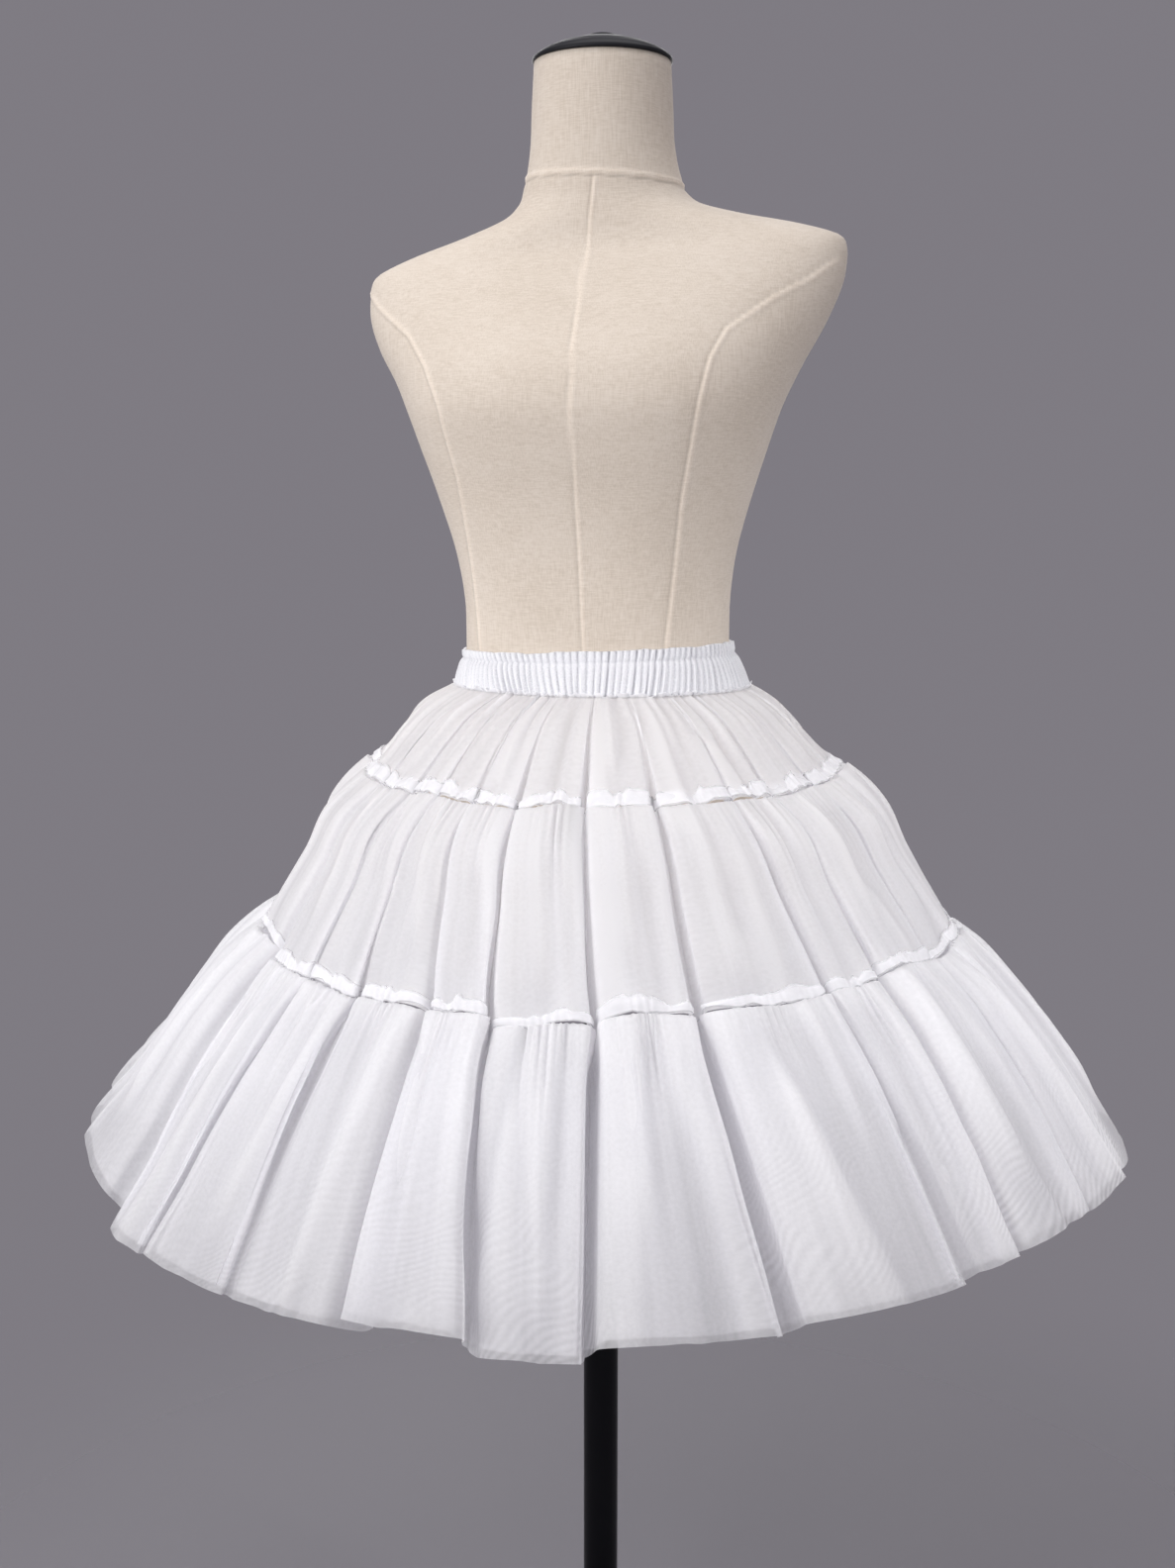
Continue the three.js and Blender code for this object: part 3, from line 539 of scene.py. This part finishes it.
def tier_cloth(name, seed, behind=0.0, shorter=0.0, fewer=0):
    """A tier with its large folds, pleats, creases and the fine gathers below its seam, its values for the
    materials, and how the gathers run round. behind and shorter set it back from an outer ply and raise
    its hem, and fewer leaves out rows of the mesh."""
    cloth = dict(zip(CLOTH_NAMES, TIER_CLOTH[name]))
    top, low = TIER_RINGS[name][0][0], TIER_RINGS[name][-1][0] - shorter * 1000
    share = np.linspace(0, 1, cloth["rows"] - fewer)
    falls = top + (low - top) * (0.55 * share + 0.45 * share**1.8)
    rows, hollow, rim = tier_grid(name, falls)
    normals = outward_normals(rows, True)
    normals[0, :, 2] = 0
    normals[0] /= np.linalg.norm(normals[0], axis=-1, keepdims=True)
    down = ((falls - top) / 1000)[:, None]
    length = down[-1, 0]
    part = down / length
    count = rows.shape[1]

    # Fine gathers, a whole number of them round the top edge
    steps = np.linalg.norm(np.roll(rows[0], -1, axis=0) - rows[0], axis=-1)
    girth = steps.sum()
    along = np.concatenate([[0], np.cumsum(steps)[:-1]])
    phase = 2 * pi * (round(girth / cloth["pitch"]) * along / girth)
    wander = layered_noise(count, seed, (2.4, 45 * COLUMN), (1.1, 14 * COLUMN))
    uneven = 0.55 + 0.45 * smooth_noise(count, 12 * COLUMN, seed + 2)
    reach = cloth["fade"] * (1 + 0.55 * smooth_noise(count, 9 * COLUMN, seed + 3))
    gather = np.sin(phase + wander) * uneven
    gathers = gather * cloth["height"] * np.exp(-(down / reach) ** 1.3)

    pleats = long_pleats(cloth["pleat"], down, count, seed)
    pleats = pleats + placed_creases(CREASES[name], rows, part)
    pleats = pleats + fine_creases(cloth["creases"], part, count, seed + 40)
    # The hem waves a little
    wave = 0.0022 * smooth_noise(count, 24 * COLUMN, seed + 31) * smooth_step(down, 0.75 * length, length)
    wave += 0.0012 * smooth_noise(count, 9 * COLUMN, seed + 33) * smooth_step(down, 0.88 * length, length)
    relief = gathers + (pleats + wave) * (1 - 0.6 * hollow)
    if name != "tier_top":
        # The gathers puff out from under the seam's band
        relief = relief + PUFF * bell(down, PUFF_FALL)
    rows = rows + normals * (relief - behind * smooth_step(down, 0, 0.03))[..., None]
    rows[-1, :, 2] += 0.0008 * smooth_noise(count, 7 * COLUMN, seed + 32)
    shape = rows.shape[:2]
    values = {
        "down": np.broadcast_to(down, shape),
        "to_hem": np.broadcast_to(length - down, shape),
        "around": np.broadcast_to(along, shape),
        # crest carries the painted shade and highlight: hollows darker, ridges and rims lighter, and it
        # thickens the thread
        "crest": np.clip(relief / CREST_HEIGHT + 0.8 * rim, -1, 1),
    }
    if name == "tier_top":
        edge = raised_edge(rows[0], normals[0], gather, seed + 50)
        rows = np.concatenate([edge, rows])
        values = {key: np.concatenate([v[:1]] * len(edge) + [v]) for key, v in values.items()}
    return rows, values, gather


def panel(name, rows, values, side):
    """The front or back part of a tier, from side valley to side valley."""
    first, last = (RIGHT_SIDE, LEFT_SIDE) if side == "front" else (LEFT_SIDE, FOLDS)
    columns = np.arange(first * FOLD_SAMPLES, last * FOLD_SAMPLES + 1) % rows.shape[1]
    picked = rows[:, columns]
    for edge, sign in ((0, 1), (-1, -1)):
        across = np.stack([-picked[:, edge, 1], picked[:, edge, 0], np.zeros(len(picked))], axis=-1)
        picked[:, edge] += sign * SEAM_GAP / 2 * across / np.linalg.norm(across, axis=-1, keepdims=True)
    return grid_mesh(name, picked, False, {key: v[:, columns] for key, v in values.items()})


def seam_band(name, rows, gather, seed):
    """The bunched band over a seam: it lies on the last few rows of the tier above it, in soft ruffles
    that go on into the gathers of the tier below."""
    low_edge = rows[-1, :, 2]
    share = np.linspace(0, 1, 7)[:, None]
    heights = (low_edge + TAPE_WIDTH) * (1 - share) + low_edge * share
    grid = np.stack([points_at(rows, height) for height in heights])
    normals = outward_normals(grid, True)
    normals[..., 2] = 0
    normals /= np.linalg.norm(normals, axis=-1, keepdims=True)
    count = grid.shape[1]
    bulge = np.sin(pi * share)
    lift = 0.0004 + 0.0009 * bulge * (1 + 0.7 * smooth_noise(count, 13 * COLUMN, seed + 5))
    ruffle = 0.0011 * (0.5 + 0.5 * gather) * (1.25 - 0.5 * bulge)
    shift = 3 * smooth_noise(count, 9 * COLUMN, seed + 8)
    pucker = 0.0006 * smooth_noise(count, 4 * COLUMN, seed + 7) * np.sin(2 * pi * share + shift)
    outer = grid + normals * (lift + ruffle + pucker)[..., None]
    # Its two edges are ragged
    ragged = layered_noise(count, seed + 2, (0.0022, 4 * COLUMN), (0.0034, 17 * COLUMN))
    sunk = 0.0018 * smooth_noise(count, 5 * COLUMN, seed + 4)
    sunk = sunk + 0.0024 * smooth_noise(count, 23 * COLUMN, seed + 6)
    outer[..., 2] += ragged * (1 - share) ** 2 + sunk * share**2
    shape = outer.shape[:2]
    values = {
        "down": np.broadcast_to(share * TAPE_WIDTH, shape),
        "to_hem": np.broadcast_to(0.02 + 0.2 * bulge, shape),
        "around": np.broadcast_to(np.arange(count) / COLUMN * 0.001, shape),
        # Painted highlight and shade: the band is painted lighter on its gathers' crests and darker between
        # them
        "crest": np.broadcast_to(0.5 * gather + 0.3, shape),
    }
    return closed_shell(name, outer, outer - normals * TAPE_WALL, values)


# The form

def section_points(section, angles, grow=0.0):
    """Points round the form at each section, from the front, grown outwards by some millimetres."""
    sine, cosine = np.sin(angles)[None, :], np.cos(angles)[None, :]
    part = {key: value[:, None] for key, value in section.items()}
    power = 2 / part["square"]
    x = part["aside"] + (part["wide"] + grow) * np.sign(sine) * np.abs(sine) ** power
    depth = np.where(cosine > 0, part["front"], part["back"]) + grow
    y = -depth * np.sign(cosine) * np.abs(cosine) ** power
    leaning = smooth_step(part["rise"], 120, 300) - smooth_step(part["rise"], 380, 445)
    return np.stack([x, y, WAIST * 1000 + part["rise"] + SHOULDER_LEAN * leaning * x], axis=-1) / 1000


def seam_relief(points, table, front):
    """Height of a raised seam at each point: a soft ridge with a fine groove beside it."""
    rises, places = np.array(table, dtype=float).T
    rise = (points[..., 2] - WAIST) * 1000
    middle = np.interp(rise, rises, places)
    slope = np.interp(rise + 4, rises, places) - np.interp(rise - 4, rises, places)
    gap = (points[..., 0] * 1000 - middle) / np.hypot(1, slope / 8)
    ridge = bell(gap, 2.0) - 0.7 * bell(gap + 2.8, 1.1)
    started = smooth_step(rise, rises[0] - 4, rises[0] + 4)
    ended = smooth_step(rise, rises[-1] - 4, rises[-1] + 4)
    on_side = points[..., 1] < 0 if front else points[..., 1] > 0
    return ridge * (started * (1 - ended)) * on_side


def form_grid():
    """The form's surface as a grid of points, with the height of its seams for the material."""
    rises = np.unique(np.concatenate([np.linspace(*stretch) for stretch in FORM_STRETCHES]))
    section = spline(FORM_SECTIONS, SECTION_NAMES, rises)
    angles = np.arange(FORM_COLUMNS) / FORM_COLUMNS * 2 * pi
    points = section_points(section, angles)[::-1]
    normals = outward_normals(points, True)
    relief = np.zeros(points.shape[:2])
    for name, table in SEAM_LINES.items():
        relief += SEAM_HEIGHT * seam_relief(points, table, "back" not in name)
    neck = NECK_SEAM - 0.05 * points[..., 0]
    gap = (points[..., 2] - WAIST - neck) * 1000
    relief += NECK_SEAM_HEIGHT * (bell(gap, 2.0) - 0.8 * bell(gap + 2.6, 1.0))
    return points + normals * relief[..., None], relief / SEAM_SHADE_HEIGHT


# The waistband

def waistband():
    """Gathered satin over elastic: a frilled header, a stitch line and a ribbed casing."""
    count = BAND_COLUMNS
    angles = np.arange(count) / count * 2 * pi
    shares = np.concatenate([np.linspace(0, 0.25, 8), np.linspace(0.25, 1, 15)[1:]])[:, None]
    falls = shares * BAND_FALL
    in_header = 1 - smooth_step(falls, 0, HEADER_FALL)
    # Its plan runs from the form's waist to the first tier's top edge
    base = section_points(spline(FORM_SECTIONS, SECTION_NAMES, np.array([0.0])), angles, 2.1)[0]
    wide, deep = TIER_RINGS["tier_top"][0][1:3]
    skirt = 1 / np.hypot(np.sin(angles) / wide, np.cos(angles) / deep) / 1000
    opened = np.stack([skirt * np.sin(angles), -skirt * np.cos(angles)], axis=-1)
    flare = np.interp(falls, [0, HEADER_FALL, BAND_FALL], [0, 0.2, 1])[..., None]
    plan = base[:, :2] * (1 - flare) + opened * flare
    outward = plan / np.linalg.norm(plan, axis=-1, keepdims=True)

    phase = BAND_GATHERS * angles + layered_noise(count, 71, (1.8, 60), (0.8, 18))
    uneven = 0.7 + 0.3 * smooth_noise(count, 14, 73)
    drift = smooth_step(falls, HEADER_FALL, BAND_FALL) * smooth_noise(count, 16, 74)
    gathers = (np.sin(phase + 1.3 * drift) + 0.35 * np.sin(2 * phase + 1)) * uneven
    stitched = bell(falls - HEADER_FALL, 0.0016)
    strength = np.interp(falls, [0, HEADER_FALL, 0.014, 0.028, BAND_FALL], [1.15, 0.35, 0.75, 0.8, 0.9])
    puff = 0.0011 * np.sin(pi * np.clip((falls - HEADER_FALL) / (BAND_FALL - HEADER_FALL), 0, 1))
    frill = 0.0007 * smooth_noise(count, 22, 75) * in_header
    relief = 0.0017 * strength * gathers + puff + frill - 0.0011 * stitched
    # The top edge waves, and stands a little higher at the form's left
    wave = layered_noise(count, 76, (0.0016, 90), (0.0012, 16)) * in_header * 0.6
    height = WAIST - falls + wave + 0.004 * np.sin(angles) * (1 - shares)

    def wall(relief_share, distance):
        place = plan + outward * (relief * relief_share + distance)[..., None]
        return np.concatenate([place, height[..., None]], axis=-1)

    return closed_shell("waistband_satin", wall(1, 0.0002), wall(0.15, -SATIN_WALL), {"gather": gathers})


# Shader nodes

def new_material(name):
    """A material with an empty node tree, that tree, and the place on the object in it."""
    made = bpy.data.materials.new(name)
    made.use_nodes = True
    tree = made.node_tree
    tree.nodes.clear()
    return made, tree, node(tree, "ShaderNodeTexCoord").outputs["Object"]


def node(tree, kind, settings=None, **inputs):
    """A node with its inputs by name, or by number as i0 and i1, each a value or another node's output."""
    made = tree.nodes.new(kind)
    for key, value in (settings or {}).items():
        setattr(made, key, value)
    for key, value in inputs.items():
        numbered = key[0] == "i" and key[1:].isdigit()
        socket = made.inputs[int(key[1:]) if numbered else key.replace("_", " ")]
        if isinstance(value, bpy.types.NodeSocket):
            tree.links.new(value, socket)
        else:
            socket.default_value = value
    return made


def maths(tree, operation, a, b=0.0, clamp=False):
    return node(tree, "ShaderNodeMath", {"operation": operation, "use_clamp": clamp}, i0=a, i1=b).outputs[0]


def times(tree, a, b, clamp=False):
    return maths(tree, "MULTIPLY", a, b, clamp)


def plus(tree, first, *others):
    for other in others:
        first = maths(tree, "ADD", first, other)
    return first


def about_nought(tree, value, strength):
    """A value of 0 to 1 moved to lie about nought, and made stronger or weaker."""
    return times(tree, maths(tree, "SUBTRACT", value, 0.5), strength)


def ranged(tree, value, low, high, to_low=0.0, to_high=1.0):
    """A value from one range mapped to another and kept within it."""
    return node(tree, "ShaderNodeMapRange", Value=value, From_Min=low, From_Max=high,
                To_Min=to_low, To_Max=to_high).outputs[0]


def noise(tree, place, scale, detail):
    return node(tree, "ShaderNodeTexNoise", Vector=place, Scale=scale, Detail=detail).outputs["Fac"]


def attribute(tree, name):
    return node(tree, "ShaderNodeAttribute", {"attribute_name": name}).outputs["Fac"]


def ramp(tree, factor, stops):
    made = node(tree, "ShaderNodeValToRGB", Fac=factor)
    elements = made.color_ramp.elements
    while len(elements) < len(stops):
        elements.new(0.5)
    for element, (place, colour) in zip(elements, stops):
        element.position = place
        element.color = (*colour, 1)
    return made.outputs["Color"]


def bumped(tree, height, strength, distance):
    return node(tree, "ShaderNodeBump", Height=height, Strength=strength, Distance=distance).outputs[0]


def principled(tree, **inputs):
    return node(tree, "ShaderNodeBsdfPrincipled", **inputs).outputs[0]


def mixed(tree, share, first, second):
    return node(tree, "ShaderNodeMixShader", i0=share, i1=first, i2=second).outputs[0]


def clear(tree):
    return node(tree, "ShaderNodeBsdfTransparent").outputs[0]


def set_surface(tree, shader):
    node(tree, "ShaderNodeOutputMaterial", Surface=shader)


# Materials

def tulle_material(name, cover, tint, moire, thinner=0.0, through_share=0.5):
    """Fine net that lets some light and sight through. cover is how much of it is thread, moire how much
    the contours of two nets show, thinner how much less thread there is at the hem, and through_share how
    much of the light passes the thread."""
    made, tree, position = new_material(name)
    around, down, crest = attribute(tree, "around"), attribute(tree, "down"), attribute(tree, "crest")
    near_hem = ranged(tree, attribute(tree, "to_hem"), 0.13, 0.02)
    place = node(tree, "ShaderNodeCombineXYZ", X=around, Y=down).outputs[0]
    # Contours of two nets over each other, in patches near the hem, more of them at the form's left
    sweep = plus(tree, times(tree, around, 700.0), times(tree, down, 1100.0))
    contour = maths(tree, "SINE", plus(tree, sweep, times(tree, noise(tree, place, 14.0, 1.0), 70.0)))
    patch = ranged(tree, noise(tree, position, 9.0, 3.0), 0.46, 0.6)
    across = node(tree, "ShaderNodeSeparateXYZ", Vector=position).outputs["X"]
    strength = times(tree, times(tree, near_hem, patch), moire)
    strength = times(tree, strength, ranged(tree, across, -0.3, 0.35, 0.12))
    # Streaks of bunched thread that follow the gathers down the cloth
    stretched = node(tree, "ShaderNodeCombineXYZ", X=times(tree, around, 130.0), Y=times(tree, down, 6.0))
    streak = noise(tree, stretched.outputs[0], 1.0, 2.0)
    thread = plus(tree, cover, about_nought(tree, noise(tree, place, 420.0, 2.0), 0.14),
                  times(tree, contour, strength), about_nought(tree, streak, 0.22), times(tree, crest, 0.07))
    thread = maths(tree, "SUBTRACT", thread, times(tree, near_hem, thinner))
    # Painted shade and highlight: the cloth's colour is painted darker in hollows and lighter on ridges and
    # fold rims
    painted_shade_tones = ((0.1, 0.93), (0.55, 0.975), (1.0, 1.02))
    stops = [(at, tuple(min(1.0, part * tone) for part in tint)) for at, tone in painted_shade_tones]
    colour = ramp(tree, ranged(tree, crest, -1.0, 0.8), stops)
    crumple = bumped(tree, streak, 0.14, 0.002)
    # Cloth seen edge on has a little more gloss
    facing = node(tree, "ShaderNodeLayerWeight", Blend=0.35).outputs["Facing"]
    lit = principled(tree, Base_Color=colour, Roughness=0.78, Normal=crumple, Sheen_Weight=0.6,
                     Sheen_Roughness=0.4, Specular_IOR_Level=times(tree, facing, 0.3))
    through = node(tree, "ShaderNodeBsdfTranslucent", Color=colour, Normal=crumple).outputs[0]
    solid = mixed(tree, through_share, lit, through)
    set_surface(tree, mixed(tree, times(tree, thread, 1.0, True), clear(tree), solid))
    return made


def satin_material():
    """White satin, painted darker between its gathers as shade and lighter on their crests, with a fine
    grain.
    """
    made, tree, position = new_material("waistband_satin")
    fine = noise(tree, position, 900.0, 2.0)
    # Painted shade: the troughs between the gathers are painted darker and their crests lighter; the fine
    # noise is the satin's own grain
    gather_shade_and_grain = plus(tree, times(tree, attribute(tree, "gather"), 0.35), fine)
    stops = ((0.2, (0.54, 0.54, 0.575)), (0.5, (0.685, 0.685, 0.715)), (0.85, (0.765, 0.765, 0.79)))
    colour = ramp(tree, gather_shade_and_grain, stops)
    bump = bumped(tree, fine, 0.12, 0.0004)
    set_surface(tree, principled(tree, Base_Color=colour, Roughness=0.5, Normal=bump, Sheen_Weight=0.2))
    return made


def linen_material():
    """Plain weave with slubs: long thin streaks across and up the cloth."""
    made, tree, position = new_material("linen")
    upright = node(tree, "ShaderNodeMapping", Vector=position, Scale=(1.0, 1.0, 0.05)).outputs[0]
    level = node(tree, "ShaderNodeMapping", Vector=position, Scale=(0.12, 0.12, 1.0)).outputs[0]
    ribs, slubs = noise(tree, upright, 1150.0, 2.0), noise(tree, level, 1050.0, 2.0)
    weave = plus(tree, times(tree, ribs, 0.5), times(tree, slubs, 0.5))
    tone = plus(tree, weave, about_nought(tree, noise(tree, position, 16.0, 4.0), 0.25))
    stops = ((0.36, (0.63, 0.543, 0.452)), (0.5, (0.70, 0.612, 0.52)), (0.64, (0.75, 0.667, 0.578)))
    # Painted shade and highlight: the seams' grooves are painted darker and their ridges lighter
    shade = ranged(tree, attribute(tree, "seam"), -0.5, 0.6, 0.8, 1.05)
    colour = ramp(tree, tone, stops)
    colour = node(tree, "ShaderNodeVectorMath", {"operation": "SCALE"}, i0=colour, Scale=shade).outputs[0]
    bump = bumped(tree, weave, 0.25, 0.0005)
    set_surface(tree, principled(tree, Base_Color=colour, Roughness=0.92, Normal=bump, Sheen_Weight=0.15))
    return made


def black_material(name, colour, roughness):
    """Black with a fine grain, and a gloss that varies a little."""
    made, tree, position = new_material(name)
    rough = plus(tree, roughness, about_nought(tree, noise(tree, position, 12.0, 4.0), 0.2))
    bump = bumped(tree, noise(tree, position, 700.0, 2.0), 0.08, 0.0003)
    set_surface(tree, principled(tree, Base_Color=(*colour, 1), Roughness=rough, Normal=bump,
                                 Specular_IOR_Level=0.12))
    return made


def floor_material():
    """Pale grey that fades out to the plain backdrop with distance from the stand."""
    made, tree, position = new_material("floor_pale")
    distance = node(tree, "ShaderNodeVectorMath", {"operation": "LENGTH"}, i0=position).outputs["Value"]
    shown = node(tree, "ShaderNodeMapRange", {"interpolation_type": "SMOOTHERSTEP"}, Value=distance,
                 From_Min=0.35, From_Max=1.25, To_Min=1.0, To_Max=0.0).outputs[0]
    body = principled(tree, Base_Color=(0.2, 0.192, 0.21, 1), Roughness=0.9)
    set_surface(tree, mixed(tree, shown, clear(tree), body))
    return made


# Pieces

def give(piece, finish, replaced=()):
    """Give a piece its material, and say what it belongs to and which solids it stands for."""
    piece.data.materials.clear()
    piece.data.materials.append(finish)
    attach(piece, "root")
    if replaced:
        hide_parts(*replaced)


linen = linen_material()
black_metal = black_material("black_metal", (0.003, 0.003, 0.004), 0.3)
black_plastic = black_material("black_plastic", (0.014, 0.014, 0.017), 0.38)
satin = satin_material()
tulle_tiers = {
    "tier_top": tulle_material("tulle_top", 0.95, WHITE, 0.0),
    "tier_middle": tulle_material("tulle_middle", 0.94, WHITE, 0.02),
    "tier_bottom": tulle_material("tulle_outer", 0.77, WHITE, 0.11, 0.24),
}
tulle_inner = tulle_material("tulle_inner", 0.77, WHITE, 0.06, 0.22)
tulle_seam = tulle_material("tulle_seam", 0.84, SEAM_WHITE, 0.0, 0.6, 0.33)

form_points, form_relief = form_grid()
give(capped_tube("form_linen", form_points, {"seam": form_relief}), linen, ["form_torso"])
cap = turned("cap_dome", rounded(CAP, 2), 128, NECK_TOP + SEAM_GAP)
give(cap, black_plastic, ["form_neck_cap"])
button = turned("cap_button", rounded(BUTTON, 1.5), 128, NECK_TOP + CAP_HEIGHT + 2 * SEAM_GAP)
give(button, black_plastic, ["form_cap_knob"])
give(turned("pole_black", rounded(POLE, 0.6), 128, 0.0), black_metal, ["stand_pole"])
base = turned("base_black", [BASE_MIDDLE, *rounded(BASE, 2)], 192, 0.0)
give(base, black_metal, ["stand_base"])
give(waistband(), satin, ["waistband"])

tier_rows, tier_gathers = {}, {}
for number, (tier, finish) in enumerate(tulle_tiers.items(), 1):
    rows, values, gather = tier_cloth(tier, 100 * number)
    tier_rows[tier], tier_gathers[tier] = rows, gather
    for side in ("front", "back"):
        give(panel(f"{tier}_{side}_tulle", rows, values, side), finish, [f"{tier}_{side}"])
rows, values = tier_cloth("tier_bottom", 700, INNER_PLY, INNER_HEM_RISE, 12)[:2]
for side in ("front", "back"):
    give(panel(f"tier_bottom_{side}_inner_ply", rows, values, side), tulle_inner)
for place, above, below, seed in SEAM_BANDS:
    band = seam_band(f"seam_band_{place}_tulle", tier_rows[above], tier_gathers[below], seed)
    give(band, tulle_seam, [f"seam_band_{place}"])


# Floor, camera and lights

def floor_disc():
    """A round floor in rings, from its rim to its middle."""
    angles = np.linspace(0, 2 * pi, 97)[:-1]
    rings = [[r * np.sin(angles), -r * np.cos(angles), 0 * angles] for r in FLOOR_RADII]
    return grid_mesh("floor", np.moveaxis(np.array(rings), 1, 2), True)


def area_light(name, place, target, size, power, spread):
    data = bpy.data.lights.new(name, "AREA")
    data.shape = "RECTANGLE"
    data.size, data.size_y = size
    data.energy = power
    data.spread = radians(spread)
    light = bpy.data.objects.new(name, data)
    bpy.context.scene.collection.objects.link(light)
    light.location = place
    light.rotation_mode = "QUATERNION"
    light.rotation_quaternion = Vector(np.array(target) - np.array(place)).to_track_quat("-Z", "Y")


floor = floor_disc()
floor.data.materials.append(floor_material())

camera_data = bpy.data.cameras.new("camera")
camera = bpy.data.objects.new("camera", camera_data)
bpy.context.scene.collection.objects.link(camera)
camera_data.sensor_fit = "VERTICAL"
camera_data.sensor_height = SENSOR_HEIGHT
camera_data.lens = FOCAL_PIXELS / HEIGHT_PIXELS * SENSOR_HEIGHT
camera_data.dof.use_dof = False
camera.location = (
    sin(CAMERA_TURN) * CAMERA_DISTANCE + cos(CAMERA_TURN) * CAMERA_SIDE,
    -cos(CAMERA_TURN) * CAMERA_DISTANCE + sin(CAMERA_TURN) * CAMERA_SIDE,
    WAIST + CAMERA_RISE)
camera.rotation_euler = (radians(90) - CAMERA_DROP, 0, CAMERA_TURN)
bpy.context.scene.camera = camera

for light in LIGHTS:
    area_light(*light)
world = bpy.data.worlds.new("studio")
bpy.context.scene.world = world
world.use_nodes = True
background = world.node_tree.nodes["Background"]
background.inputs["Color"].default_value = BACKDROP
background.inputs["Strength"].default_value = 1.0
bpy.context.scene.view_settings.view_transform = "Standard"
